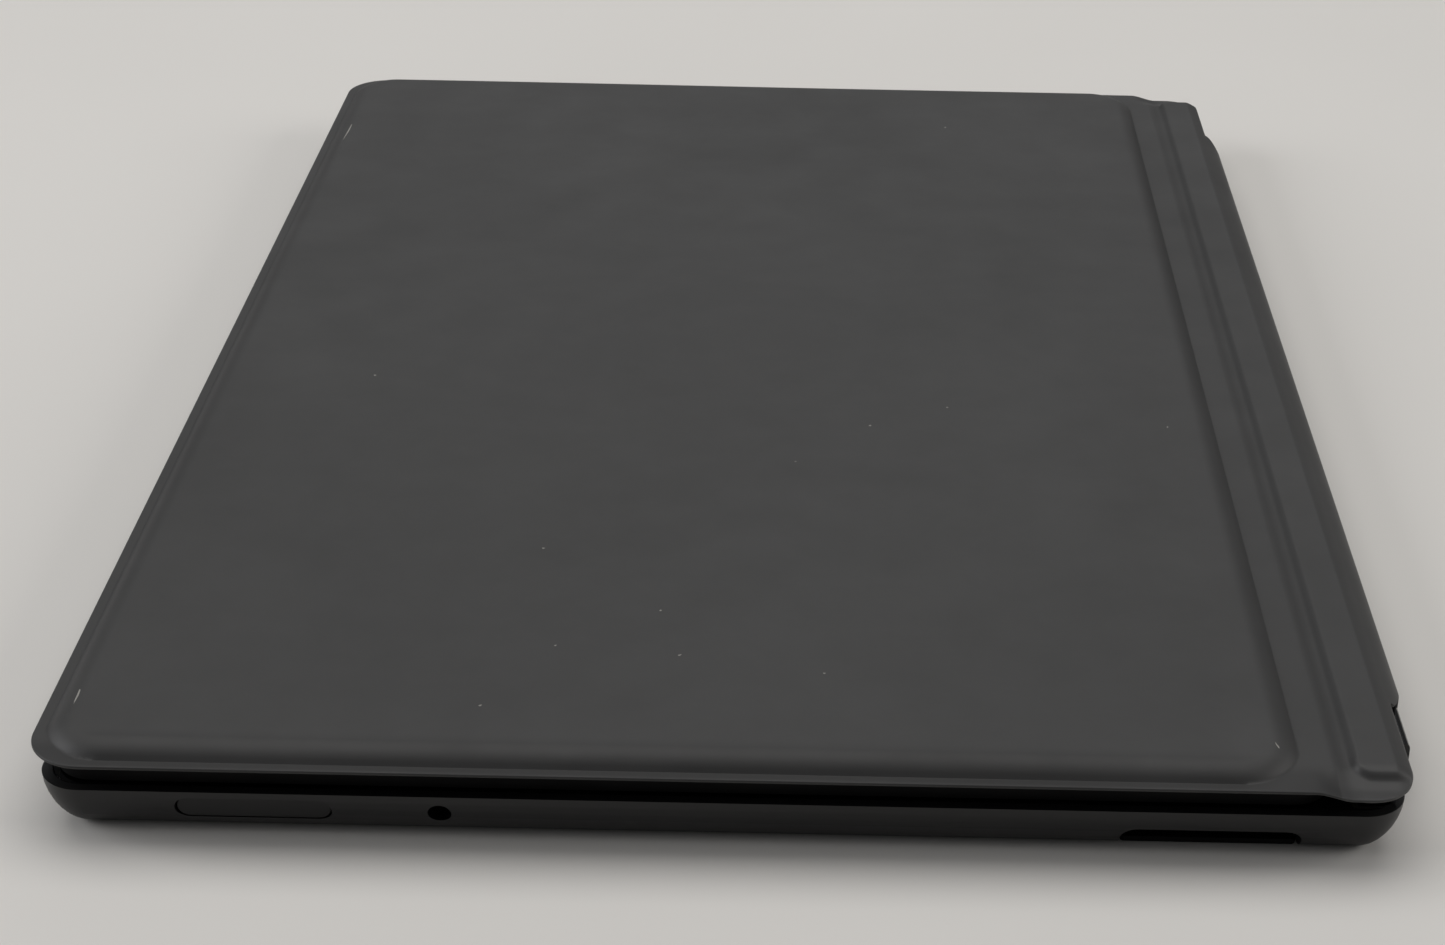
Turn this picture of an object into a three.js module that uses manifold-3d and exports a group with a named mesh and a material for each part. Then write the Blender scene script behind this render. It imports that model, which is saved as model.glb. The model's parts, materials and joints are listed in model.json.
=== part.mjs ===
// A tablet lying on its back with its detachable keyboard cover folded shut over the screen.
// Millimetres, +Z up. X runs from the tablet's top edge to the hinge edge, where the cover's spine sits.
// Y runs along the tablet's long side. Z = 0 is the flat back that the tablet rests on.
import * as THREE from 'three';
import * as BufferGeometryUtils from 'three/addons/utils/BufferGeometryUtils.js';
import Module from 'manifold-3d';

const wasm = await Module();
wasm.setup();

// ---------------------------------------------------------------- driving dimensions

// Tablet
const TABLET_X = 201.5; // short side
const TABLET_Y = 292; // long side
const TABLET_Z = 8.6; // thickness
const CORNER_R = 6.7; // plan radius of the rim's corners
const SIDE_REACH = 5.6; // how far the side curves in, from the rim down to the flat back
const SIDE_BEND = [1.8, 0.6]; // powers of that curve: upright at the rim, then round to the back
const RIM = 1.6; // flat metal rim round the glass
const WALL = 1.8; // housing wall, measured horizontally
const FLOOR_T = 1.0; // housing floor in the upper half
const RECESS_FLOOR_T = 1.2; // housing floor over the kickstand
const GLASS_T = 0.7;
const GLASS_SINK = 0.05; // glass below the rim
const DISPLAY_T = 0.95;
const DISPLAY_INSET_X = 13.25; // display panel's edges inside the housing
const DISPLAY_INSET_Y = 16.5;
const MID_FRAME_T = 0.6;
const BATTERY_START_X = 4;
const BATTERY_INSET_X = 8.75;
const BATTERY_INSET_Y = 20;
const BOARD_INSET_X = 20.75; // main board's edges inside the housing
const BOARD_INSET_Y = 46;
const BOARD_T = 1.0;
const SPREADER_T = 0.9;

// Kickstand
const KICK_T = 1.2; // plate thickness
const KICK_HINGE_X = -2; // hinge axis, from the tablet's centre
const KICK_INSET_X = 9.45; // free edge inside the housing
const KICK_INSET_Y = 7.5;
const KICK_GAP = 0.3; // gap round the closed plate
const KICK_REAR_GAP = 2.5; // room behind the axis for the plate's turn
const KICK_BRACKET_INSET = 43.5; // hinge brackets, from the plate's ends
const KICK_BRACKET_W = 14;
const PIN_R = 0.3;
const PIN_CLEAR = 0.08;
const PIN_REACH = 4; // pin left in the plate each side of a bracket
const NOTCH_FROM_HINGE = 28.7; // finger notch's centre, from the hinge edge
const NOTCH_L = 26.8;
const NOTCH_Z = 5.0;
const NOTCH_R = 2.4; // notch's upper corners
const TAB_REACH = 1.2; // plate's finger tab, out into the notch

// Controls and ports on the tablet's sides. Places along X are from the tablet's top edge.
const ROCKER_FROM_TOP = 32.05;
const ROCKER_L = 22.8;
const CONTROL_H = 3.9; // height of the rocker and of the power button
const CONTROL_Z = 5.4;
const CONTROL_GAP = 0.15;
const CONTROL_REACH = 4.4; // least reach of a control in from the tablet's edge
const CONTROL_LEAN = 0.2; // a control's face leans less than the side round it
const SWITCH_T = 1.5;
const SWITCH_GAP = 0.5; // control to switch
const POWER_FROM_CORNER = 28;
const POWER_L = 12;
const JACK_FROM_TOP = 59.35;
const JACK_R = 1.75;
const JACK_WALL = 0.2;
const JACK_DEPTH = 9.4;
const PORT_Z = 4.6;
const PORT_DEPTH = 10;
const PORTS = [
  { name: 'usb_port', fromTop: 56.75, width: 13.4, height: 4.9 },
  { name: 'display_port', fromTop: 78.75, width: 8.2, height: 4.6 },
];
const CHARGE_X = 40; // charging slot's centre
const CHARGE_L = 40;
const CHARGE_H = 2.6;
const SPEAKER_X = [10, 40];
const SPEAKER_INSET = 8;
const SPEAKER_W = 7;
const CAMERA_FROM_TOP = 11.75;
const CAMERA_R = 3.2; // opening for the rear camera
const CONTACT_HALF_Y = 14; // cover contacts on the hinge edge
const GUIDE_Y = 24; // guide pin either side of them
const GUIDE_R = 0.85;
const EDGE_MAGNET_Y = [40, 90];
const EDGE_MAGNET_T = 2.4;

// Keyboard cover
const COVER_T = 4.9; // tablet's rim to the top of the flange
const LIP_OVER = 1.2; // how far the flange overhangs the tablet's rim
const HINGE_LIP_OVER = 0.6; // the same past the spine's ends, at the hinge edge
const FLANGE_T = 0.7;
const LIP_CORNER_R = 9; // flange's corners at the free edge
const HINGE_CORNER_R = 7; // and at the hinge edge
const FLANGE_W = 1.7; // flange left clear round the pad
const PAD_H = 2.0; // pad height over the flange
const SHOULDER_W = 4; // width of the pad's rounded shoulder
const PAD_WALL = 3; // solid skin left round the pad's hollow
const PAD_ROOF = 0.7; // and over it
const STIFFENER_T = 1.0;
const FOAM_T = 0.6;
const SPINE_REACH = 3.5; // how far the fold stands beyond the tablet's hinge edge
const PAD_END = 19.2; // pad's end, from the fold's outer face
const BAND_W = 4.7; // flat band between pad and groove
const GROOVE_W = 3.5;
const GROOVE_DEPTH = 0.9;
const STRIP_W = 5.9;
const STRIP_RISE = 0.7; // strip's top over the flange
const STRIP_END = 4.2; // flat flange left beyond each end of the strip's raised bar
const STRIP_CORNER_R = 3.6; // raised bar's corners on the groove side
const SKIN_T = 0.5; // fold-over skin
const FOLD_END = 31; // fold-over skin's end, from the tablet's corner
const SPINE_END = 20; // spine bar's end, which shows past the skin
const SPINE_LOW_Z = 2.2;
const SPINE_UNDER_RIM = 0.4; // spine's top below the tablet's rim
const DECK_SETBACK = 2.2; // key frame's edge inside the tablet's rim
const GLASS_CLEAR = 0.3; // cover to glass when shut
const SEAM = 0.15; // half the parting between two spans of the flange
const LINING_T = 0.35;
const STRIP_MAGNET_T = 1.2;
const STRIP_MAGNET_START_Y = 20;
const STRIP_MAGNET_END = 26; // from the tablet's corner

// Keys
const KEY_DEPTH = 18.6; // from row to row
const KEY_GAP = 2.0;
const KEY_UNITS = 14.5; // keyboard's width in keys
const KEYS_INSET_Y = 11.15; // keyboard's ends inside the tablet's long side
const KEYS_FROM_HINGE = 17.75; // keyboard's edge, from the tablet's hinge edge
const FUNCTION_DEPTH = 11.5;
const KEY_T = 1.1;
const KEY_TRAVEL = 1.1;
const KEY_CLEAR = 0.4;
const KEY_RECESS = 0.6; // key tops below the deck's face
const WEB_T = 0.25; // web that links the caps of a row
const TOUCHPAD_GAP = 10.5; // bottom key row to touchpad
const TOUCHPAD_END = 16.75; // touchpad's free edge, from the tablet's top edge
const TOUCHPAD_Y = 104;

// ---------------------------------------------------------------- places worked out from them

const STEP = 0.3; // gap kept between neighbours that touch on the real thing
const HALF_X = TABLET_X / 2;
const HALF_Y = TABLET_Y / 2;
const FOLD_X = HALF_X + SPINE_REACH; // fold's outer face
const LIP_X = -HALF_X - LIP_OVER;
const LIP_Y = HALF_Y + LIP_OVER;
const HINGE_LIP_X = HALF_X + HINGE_LIP_OVER;
const PAD_END_X = FOLD_X - PAD_END;
const DECK_END_X = PAD_END_X + BAND_W;
const STRIP_START_X = DECK_END_X + GROOVE_W;
const STRIP_END_X = STRIP_START_X + STRIP_W;
const FLANGE_Z = TABLET_Z + COVER_T; // top of the flange
const FLANGE_LOW_Z = FLANGE_Z - FLANGE_T;
const COVER_LOW_Z = TABLET_Z + GLASS_CLEAR;
const FRAME_TOP_Z = FLANGE_LOW_Z - STEP;
const GLASS_LOW_Z = TABLET_Z - GLASS_SINK - GLASS_T;
const CAVITY_TOP_Z = GLASS_LOW_Z - 0.1;
const DISPLAY_TOP_Z = GLASS_LOW_Z - SEAM;
const MID_FRAME_TOP_Z = DISPLAY_TOP_Z - DISPLAY_T - 0.2;
const RECESS_Z = KICK_T + KICK_GAP;
const LOWER_FLOOR_Z = RECESS_Z + RECESS_FLOOR_T;
const KICK_AXIS_Z = KICK_T / 2;
const KICK_FREE_X = HALF_X - KICK_INSET_X;
const KICK_HALF_Y = HALF_Y - KICK_INSET_Y;
const PIN_BORE_R = PIN_R + PIN_CLEAR;
const NOTCH_X = HALF_X - NOTCH_FROM_HINGE;
const ROCKER_X = -HALF_X + ROCKER_FROM_TOP;
const POWER_Y = -HALF_Y + POWER_FROM_CORNER;
const JACK_X = -HALF_X + JACK_FROM_TOP;
const JACK_Z = (LOWER_FLOOR_Z + GLASS_LOW_Z) / 2;
const CAMERA_X = -HALF_X + CAMERA_FROM_TOP;
const SPINE_HIGH_Z = TABLET_Z - SPINE_UNDER_RIM;
const KEY_TOP_Z = COVER_LOW_Z + KEY_RECESS;
const WELL_Z = KEY_TOP_Z + 0.7; // floor of the key well
const FACE_TOP_Z = WELL_Z + 1.0; // and the back of that floor
const KEYS_START_X = HALF_X - KEYS_FROM_HINGE;
const KEYS_HALF_Y = HALF_Y - KEYS_INSET_Y;
const KEY_WIDTH = (2 * KEYS_HALF_Y) / KEY_UNITS;

// How far the curved side stands in from the rim at height z.
const sideInset = (z) => {
  const down = Math.min(Math.max(1 - z / TABLET_Z, 0), 1);
  return SIDE_REACH * (1 - (1 - down ** SIDE_BEND[0]) ** SIDE_BEND[1]);
};

// How far the cavity's inner wall, straight from floor to top, stands in from the rim at height z.
const wallInset = (z) => {
  const share = (z - LOWER_FLOOR_Z) / (CAVITY_TOP_Z - LOWER_FLOOR_Z);
  return WALL + sideInset(LOWER_FLOOR_Z) * (1 - share) + sideInset(CAVITY_TOP_Z) * share;
};

// A control goes in past the wall to just short of its switch.
const CONTROL_DEPTH = Math.max(CONTROL_REACH, sideInset(CONTROL_Z) + WALL + 0.7);

// ---------------------------------------------------------------- shapes

// Rounded rectangle from (x0, y0) to (x1, y1). Radii go round from the low-x low-y corner.
function outline(x0, x1, y0, y1, radii) {
  const [a, b, c, d] = radii;
  const shape = new THREE.Shape();
  shape.moveTo(x0 + a, y0);
  shape.lineTo(x1 - b, y0);
  if (b) shape.absarc(x1 - b, y0 + b, b, -Math.PI / 2, 0, false);
  shape.lineTo(x1, y1 - c);
  if (c) shape.absarc(x1 - c, y1 - c, c, 0, Math.PI / 2, false);
  shape.lineTo(x0 + d, y1);
  if (d) shape.absarc(x0 + d, y1 - d, d, Math.PI / 2, Math.PI, false);
  shape.lineTo(x0, y0 + a);
  if (a) shape.absarc(x0 + a, y0 + a, a, Math.PI, 1.5 * Math.PI, false);
  return shape;
}

function slab(x0, x1, y0, y1, z0, z1, radius = 0, segments = 5) {
  const radii = Array.isArray(radius) ? radius : [radius, radius, radius, radius];
  const shape = outline(x0, x1, y0, y1, radii);
  const options = { depth: z1 - z0, bevelEnabled: false, curveSegments: segments };
  return new THREE.ExtrudeGeometry(shape, options).translate(0, 0, z0);
}

// A shape drawn in (x, z), carried along Y.
function prismY(shape, y0, y1, segments = 6) {
  const options = { depth: y1 - y0, bevelEnabled: false, curveSegments: segments };
  return new THREE.ExtrudeGeometry(shape, options).rotateX(Math.PI / 2).translate(0, y1, 0);
}

// A shape drawn in (y, z), carried along X.
function prismX(shape, x0, x1, segments = 6) {
  const options = { depth: x1 - x0, bevelEnabled: false, curveSegments: segments };
  const turn = new THREE.Matrix4().makeBasis(
    new THREE.Vector3(0, 1, 0),
    new THREE.Vector3(0, 0, 1),
    new THREE.Vector3(1, 0, 0),
  );
  return new THREE.ExtrudeGeometry(shape, options).applyMatrix4(turn).translate(x0, 0, 0);
}

const rodY = (radius, x, z, y0, y1, segments = 16) =>
  new THREE.CylinderGeometry(radius, radius, y1 - y0, segments).translate(x, (y0 + y1) / 2, z);

const rodX = (radius, y, z, x0, x1, segments = 16) =>
  new THREE.CylinderGeometry(radius, radius, x1 - x0, segments)
    .rotateZ(Math.PI / 2)
    .translate((x0 + x1) / 2, y, z);

const rodZ = (radius, x, y, z0, z1, segments = 24) =>
  new THREE.CylinderGeometry(radius, radius, z1 - z0, segments)
    .rotateX(Math.PI / 2)
    .translate(x, y, (z0 + z1) / 2);

// Closed stack of rounded rectangles: each level has a height, a rectangle and corner radii.
function loft(levels, segments = 6) {
  const rings = levels.map((level) => {
    const shape = outline(level.x0, level.x1, level.y0, level.y1, level.radii);
    const points = shape.getPoints(segments);
    const unique = points.filter((p, i) => p.distanceTo(points[(i + 1) % points.length]) > 1e-6);
    return unique.map((p) => [p.x, p.y, level.z]);
  });
  const count = rings[0].length;
  const positions = rings.flat(2);
  const index = [];
  for (let k = 0; k + 1 < rings.length; k += 1) {
    for (let i = 0; i < count; i += 1) {
      const j = (i + 1) % count;
      const [a, b] = [k * count + i, k * count + j];
      index.push(a, b, b + count, a, b + count, a + count);
    }
  }
  const top = (rings.length - 1) * count;
  for (let i = 1; i + 1 < count; i += 1) {
    index.push(0, i + 1, i, top, top + i, top + i + 1);
  }
  const geometry = new THREE.BufferGeometry();
  geometry.setAttribute('position', new THREE.Float32BufferAttribute(positions, 3));
  geometry.setIndex(index);
  return geometry;
}

// ---------------------------------------------------------------- booleans

function toSolid(geometry) {
  const bare = geometry.clone();
  bare.deleteAttribute('normal');
  bare.deleteAttribute('uv');
  const merged = BufferGeometryUtils.mergeVertices(bare, 1e-5);
  const vertProperties = new Float32Array(merged.attributes.position.array);
  const triVerts = new Uint32Array(merged.index.array);
  return new wasm.Manifold(new wasm.Mesh({ numProp: 3, vertProperties, triVerts }));
}

function toGeometry(solid) {
  const mesh = solid.getMesh();
  const geometry = new THREE.BufferGeometry();
  geometry.setAttribute('position', new THREE.BufferAttribute(mesh.vertProperties, 3));
  geometry.setIndex(new THREE.BufferAttribute(mesh.triVerts, 1));
  return geometry;
}

const cut = (base, ...tools) =>
  toGeometry(tools.reduce((solid, tool) => solid.subtract(toSolid(tool)), toSolid(base)));
const join = (base, ...others) =>
  toGeometry(others.reduce((solid, other) => solid.add(toSolid(other)), toSolid(base)));
const common = (base, other) => toGeometry(toSolid(base).intersect(toSolid(other)));

// ---------------------------------------------------------------- materials

const material = (color, roughness, metalness = 0) =>
  new THREE.MeshStandardMaterial({ color, roughness, metalness });

const SATIN_ALLOY = material('#2b2b2e', 0.42, 0.6);
const GLASS = material('#08090b', 0.08);
const DARK_PLASTIC = material('#161617', 0.5);
const GLOSS_PLASTIC = material('#0c0c0d', 0.15);
const SOFT_SKIN = material('#464649', 0.85);
const LINING = material('#2c2c2f', 0.95);
const STEEL = material('#a8abb0', 0.3, 1);
const BOARD = material('#17402c', 0.6);
const CELL = material('#1d1e22', 0.55);
const COPPER = material('#b06a3c', 0.35, 1);
const CONTACT_GOLD = material('#c9a24a', 0.3, 1);
const FOAM = material('#3a3b3d', 1);
const LAMINATE = material('#6f6c58', 0.8);
const LIGHT_SHEET = material('#e4e6e2', 0.6);

const assembly = new THREE.Group();
assembly.position.x = -(SPINE_REACH - LIP_OVER) / 2; // origin under the middle of the whole footprint

function add(name, geometry, finish) {
  const mesh = new THREE.Mesh(geometry, finish);
  mesh.name = name;
  assembly.add(mesh);
}

// ---------------------------------------------------------------- tablet housing

// Tablet's outline at height z, drawn in by inset.
function tabletLevel(z, inset) {
  const radius = Math.max(CORNER_R - inset, 0.6);
  return {
    z,
    x0: -HALF_X + inset,
    x1: HALF_X - inset,
    y0: -HALF_Y + inset,
    y1: HALF_Y - inset,
    radii: [radius, radius, radius, radius],
  };
}

function housingBody() {
  const shares = [0, 0.01, 0.04, 0.09, 0.16, 0.26, 0.38, 0.52, 0.68, 0.84, 1];
  const heights = shares.map((share) => share * TABLET_Z);
  return loft(heights.map((z) => tabletLevel(z, sideInset(z))), 9);
}

// Stadium in the plane of a side, for the rocker, the power button and their slots.
function controlShape(centre, length, grow) {
  const half = CONTROL_H / 2 + grow;
  const end = length / 2 - CONTROL_H / 2;
  const shape = new THREE.Shape();
  shape.moveTo(centre - end, CONTROL_Z - half);
  shape.lineTo(centre + end, CONTROL_Z - half);
  shape.absarc(centre + end, CONTROL_Z, half, -Math.PI / 2, Math.PI / 2, false);
  shape.lineTo(centre - end, CONTROL_Z + half);
  shape.absarc(centre - end, CONTROL_Z, half, Math.PI / 2, 1.5 * Math.PI, false);
  return shape;
}

// Section of a control, drawn from the tablet's outer edge inwards. Its face is flush with the curved
// side at its foot and set back at its head.
function controlSection(edge) {
  const [low, high] = [CONTROL_Z - CONTROL_H / 2, CONTROL_Z + CONTROL_H / 2];
  const foot = edge + sideInset(low);
  const head = foot - CONTROL_LEAN * CONTROL_H;
  const shape = new THREE.Shape();
  shape.moveTo(foot + CONTROL_LEAN, low - 1);
  shape.lineTo(edge + CONTROL_DEPTH, low - 1);
  shape.lineTo(edge + CONTROL_DEPTH, high + 1);
  shape.lineTo(head - CONTROL_LEAN, high + 1);
  return shape;
}

const rockerBlank = (grow, depth) =>
  prismY(controlShape(ROCKER_X, ROCKER_L, grow), -HALF_Y - 2, -HALF_Y + depth);
const powerBlank = (grow, depth) =>
  prismX(controlShape(POWER_Y, POWER_L, grow), -HALF_X - 2, -HALF_X + depth);

function kickNotch(grow) {
  const [x0, x1] = [NOTCH_X - NOTCH_L / 2, NOTCH_X + NOTCH_L / 2];
  const inner = -KICK_HALF_Y + 0.5 + grow;
  const mouth = outline(x0 - grow, x1 + grow, -1, NOTCH_Z + grow, [0, 0, NOTCH_R, NOTCH_R]);
  return prismY(mouth, -HALF_Y - 2, inner);
}

function buildHousing() {
  const cavityHeights = [LOWER_FLOOR_Z, CAVITY_TOP_Z];
  const cavity = loft(cavityHeights.map((z) => tabletLevel(z, wallInset(z))));
  const upper = sideInset(FLOOR_T) + WALL;
  const recessStart = KICK_HINGE_X - KICK_REAR_GAP;
  const upperEnd = recessStart - RECESS_FLOOR_T;
  const deep = CONTROL_DEPTH + SWITCH_GAP + SWITCH_T + 1.5;
  const [contactLow, contactHigh] = [PORT_Z - 1.6, PORT_Z + 1.8];
  const tools = [
    cut(cavity, kickNotch(WALL)),
    slab(-HALF_X + upper, upperEnd, -HALF_Y + upper, HALF_Y - upper, FLOOR_T, LOWER_FLOOR_Z + 0.5, 1),
    loft([tabletLevel(CAVITY_TOP_Z, RIM), tabletLevel(TABLET_Z + 1, RIM)]),
    slab(
      recessStart,
      KICK_FREE_X + KICK_GAP,
      -KICK_HALF_Y - KICK_GAP,
      KICK_HALF_Y + KICK_GAP,
      -1,
      RECESS_Z,
      1,
    ),
    kickNotch(0),
    rockerBlank(CONTROL_GAP, deep),
    powerBlank(CONTROL_GAP, deep),
    rodY(JACK_R, JACK_X, JACK_Z, -HALF_Y - 2, -HALF_Y + deep, 28),
    rodZ(CAMERA_R, CAMERA_X, 0, -1, FLOOR_T + 0.5),
    slab(HALF_X - 6, HALF_X + 2, -CONTACT_HALF_Y, CONTACT_HALF_Y, contactLow, contactHigh),
    slab(
      CHARGE_X - CHARGE_L / 2,
      CHARGE_X + CHARGE_L / 2,
      HALF_Y - 6,
      HALF_Y + 2,
      PORT_Z - CHARGE_H / 2,
      PORT_Z + CHARGE_H / 2,
    ),
  ];
  for (const side of [-1, 1]) {
    tools.push(rodX(GUIDE_R + 0.55, side * GUIDE_Y, PORT_Z, HALF_X - 6, HALF_X + 2));
  }
  for (const port of PORTS) {
    const x = -HALF_X + port.fromTop;
    const [w, h] = [port.width / 2, port.height / 2];
    tools.push(slab(x - w, x + w, HALF_Y - 8, HALF_Y + 2, PORT_Z - h, PORT_Z + h));
  }
  add('rear_housing', cut(housingBody(), ...tools), SATIN_ALLOY);
}

function buildControls() {
  const [rockerHalf, powerHalf] = [ROCKER_L / 2 + 1, POWER_L / 2 + 1];
  const rockerSection = prismX(controlSection(-HALF_Y), ROCKER_X - rockerHalf, ROCKER_X + rockerHalf);
  const powerSection = prismY(controlSection(-HALF_X), POWER_Y - powerHalf, POWER_Y + powerHalf);
  add('volume_rocker', common(rockerSection, rockerBlank(0, CONTROL_DEPTH)), SATIN_ALLOY);
  add('power_button', common(powerSection, powerBlank(0, CONTROL_DEPTH)), SATIN_ALLOY);
  const start = CONTROL_DEPTH + SWITCH_GAP;
  const [low, high] = [CONTROL_Z - SWITCH_T, CONTROL_Z + SWITCH_T];
  const [rockerX, powerY] = [ROCKER_L / 2 - 1, POWER_L / 2 - 1];
  const [y0, y1] = [-HALF_Y + start, -HALF_Y + start + SWITCH_T];
  add('volume_switch', slab(ROCKER_X - rockerX, ROCKER_X + rockerX, y0, y1, low, high), BOARD);
  const [x0, x1] = [-HALF_X + start, -HALF_X + start + SWITCH_T];
  add('power_switch', slab(x0, x1, POWER_Y - powerY, POWER_Y + powerY, low, high), BOARD);
}

// ---------------------------------------------------------------- inside the tablet

function buildScreen() {
  const inset = RIM + 0.15;
  const top = GLASS_LOW_Z + GLASS_T;
  const [slitStart, slitEnd] = [SPEAKER_X[0] + 5, SPEAKER_X[1] - 5];
  const slits = [-1, 1].map((side) => {
    const y = side * (HALF_Y - inset - 1.6);
    return slab(slitStart, slitEnd, y - 0.5, y + 0.5, GLASS_LOW_Z - 1, top + 1, 0.45, 4);
  });
  const glass = loft([tabletLevel(GLASS_LOW_Z, inset), tabletLevel(top, inset)]);
  add('front_glass', cut(glass, ...slits), GLASS);
  const [x, y] = [HALF_X - DISPLAY_INSET_X, HALF_Y - DISPLAY_INSET_Y];
  add('display_panel', slab(-x, x, -y, y, DISPLAY_TOP_Z - DISPLAY_T, DISPLAY_TOP_Z), DARK_PLASTIC);
  const frameLow = MID_FRAME_TOP_Z - MID_FRAME_T;
  add('mid_frame', slab(1 - x, x + 6, 2 - y, y - 2, frameLow, MID_FRAME_TOP_Z, 2, 3), STEEL);
}

// A pair of pieces either side of the middle, between two distances from it.
function addPair(name, near, far, shape, finish) {
  add(`${name}_left`, shape(-far, -near), finish);
  add(`${name}_right`, shape(near, far), finish);
}

function buildPower() {
  const low = LOWER_FLOOR_Z + 0.2;
  const top = MID_FRAME_TOP_Z - MID_FRAME_T - STEP;
  const endX = HALF_X - BATTERY_INSET_X;
  const cell = (y0, y1) => slab(BATTERY_START_X, endX, y0, y1, low, top, 2, 3);
  addPair('battery', 2, HALF_Y - BATTERY_INSET_Y, cell, CELL);
  const [x0, x1] = [-HALF_X + BOARD_INSET_X, KICK_HINGE_X - 10];
  const y = HALF_Y - BOARD_INSET_Y;
  const boardLow = FLOOR_T + SPREADER_T + 0.6;
  const boardTop = boardLow + BOARD_T;
  const chip = slab(x0 + 20, x0 + 40, -12, 8, boardTop - 0.1, boardTop + 1.1);
  const memory = slab(x0 + 20, x0 + 32, 20, 40, boardTop - 0.1, boardTop + 0.9);
  add('main_board', join(slab(x0, x1, -y, y, boardLow, boardTop, 2, 3), chip, memory), BOARD);
  const spreaderLow = FLOOR_T + STEP;
  const spreaderTop = spreaderLow + SPREADER_T;
  add('heat_spreader', slab(x0 + 2, x1 - 2, 4 - y, y - 4, spreaderLow, spreaderTop, 3, 3), COPPER);
}

function buildPorts() {
  const [jackW, jackH] = [JACK_R + 1.45, JACK_R + JACK_WALL];
  const jackY = -HALF_Y + wallInset(JACK_Z - jackH) + STEP;
  const jackBody = slab(
    JACK_X - jackW,
    JACK_X + jackW,
    jackY,
    jackY + JACK_DEPTH + 1.2,
    JACK_Z - jackH,
    JACK_Z + jackH,
  );
  const bore = rodY(JACK_R, JACK_X, JACK_Z, jackY - 1, jackY + JACK_DEPTH, 28);
  add('headset_jack', cut(jackBody, bore), DARK_PLASTIC);
  const metal = 0.5;
  for (const port of PORTS) {
    const x = -HALF_X + port.fromTop;
    const [w, h] = [port.width / 2, port.height / 2];
    const [mouthW, mouthH, tongueW] = [w - metal, h - metal, w - 1.5];
    const y1 = HALF_Y - sideInset(PORT_Z - h) - WALL - STEP;
    const y0 = y1 - PORT_DEPTH;
    const sleeve = slab(x - w, x + w, y0, y1, PORT_Z - h, PORT_Z + h);
    const mouth = slab(x - mouthW, x + mouthW, y0 + 1, y1 + 1, PORT_Z - mouthH, PORT_Z + mouthH);
    const tongue = slab(x - tongueW, x + tongueW, y0 + metal, y1 - 1, PORT_Z - metal, PORT_Z + metal);
    add(port.name, join(cut(sleeve, mouth), tongue), STEEL);
  }
  const chargeY = HALF_Y - sideInset(PORT_Z) - 0.5;
  const [chargeW, chargeH] = [CHARGE_L / 2 - 0.4, CHARGE_H / 2 - STEP];
  const charge = slab(
    CHARGE_X - chargeW,
    CHARGE_X + chargeW,
    chargeY - 4,
    chargeY,
    PORT_Z - chargeH,
    PORT_Z + chargeH,
  );
  add('charge_port', charge, DARK_PLASTIC);
  const contactX = HALF_X - sideInset(PORT_Z) - 0.9;
  const contactY = CONTACT_HALF_Y - STEP;
  const contacts = slab(contactX - 3.2, contactX, -contactY, contactY, PORT_Z - 1.3, PORT_Z + 1.5);
  add('edge_contact_block', contacts, DARK_PLASTIC);
}

function buildSpeakersAndCameras() {
  const [speakerLow, speakerHigh] = [LOWER_FLOOR_Z + 0.5, GLASS_LOW_Z - 1.05];
  const speaker = (y0, y1) => slab(...SPEAKER_X, y0, y1, speakerLow, speakerHigh, 1, 3);
  const outer = HALF_Y - SPEAKER_INSET;
  addPair('speaker', outer - SPEAKER_W, outer, speaker, DARK_PLASTIC);
  const frontX = -HALF_X + 5.5;
  const frontTop = GLASS_LOW_Z - 0.2;
  add('front_camera', slab(frontX, frontX + 5.5, -3, 3, frontTop - 1.65, frontTop), DARK_PLASTIC);
  const rear = CAMERA_R + 1;
  const body = slab(CAMERA_X - rear, CAMERA_X + rear, -rear, rear, FLOOR_T + 0.4, FLOOR_T + 4.4, 0.6, 3);
  const barrel = rodZ(CAMERA_R - 0.8, CAMERA_X, 0, FLOOR_T - 0.05, FLOOR_T + 0.6);
  add('rear_camera', join(body, barrel), DARK_PLASTIC);
  add('camera_window', rodZ(CAMERA_R - STEP, CAMERA_X, 0, 0.1, FLOOR_T - 0.35), GLASS);
  const magnetX = HALF_X - sideInset(LOWER_FLOOR_Z) - WALL - 0.5;
  const magnet = (y0, y1) =>
    slab(magnetX - EDGE_MAGNET_T, magnetX, y0, y1, LOWER_FLOOR_Z + 0.5, LOWER_FLOOR_Z + 2.9);
  addPair('edge_magnet', ...EDGE_MAGNET_Y, magnet, STEEL);
}

// ---------------------------------------------------------------- kickstand

const HINGE_EYE_R = KICK_AXIS_Z - 0.05;

function bracketShape() {
  const footX = KICK_HINGE_X - KICK_REAR_GAP + STEP;
  const shape = new THREE.Shape();
  shape.absarc(KICK_HINGE_X, KICK_AXIS_Z, HINGE_EYE_R, -Math.PI / 2, Math.PI / 2, false);
  shape.lineTo(footX, KICK_AXIS_Z + HINGE_EYE_R);
  shape.lineTo(footX, KICK_AXIS_Z);
  shape.lineTo(KICK_HINGE_X - HINGE_EYE_R, KICK_AXIS_Z - 0.3);
  return shape;
}

function plateShape() {
  const [low, high] = [KICK_AXIS_Z - HINGE_EYE_R, KICK_AXIS_Z + HINGE_EYE_R];
  const bevel = 0.4;
  const shape = new THREE.Shape();
  shape.moveTo(KICK_HINGE_X, low);
  shape.lineTo(KICK_FREE_X - bevel, low);
  shape.lineTo(KICK_FREE_X, low + bevel);
  shape.lineTo(KICK_FREE_X, high);
  shape.lineTo(KICK_HINGE_X, high);
  shape.absarc(KICK_HINGE_X, KICK_AXIS_Z, HINGE_EYE_R, Math.PI / 2, 1.5 * Math.PI, false);
  return shape;
}

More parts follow.
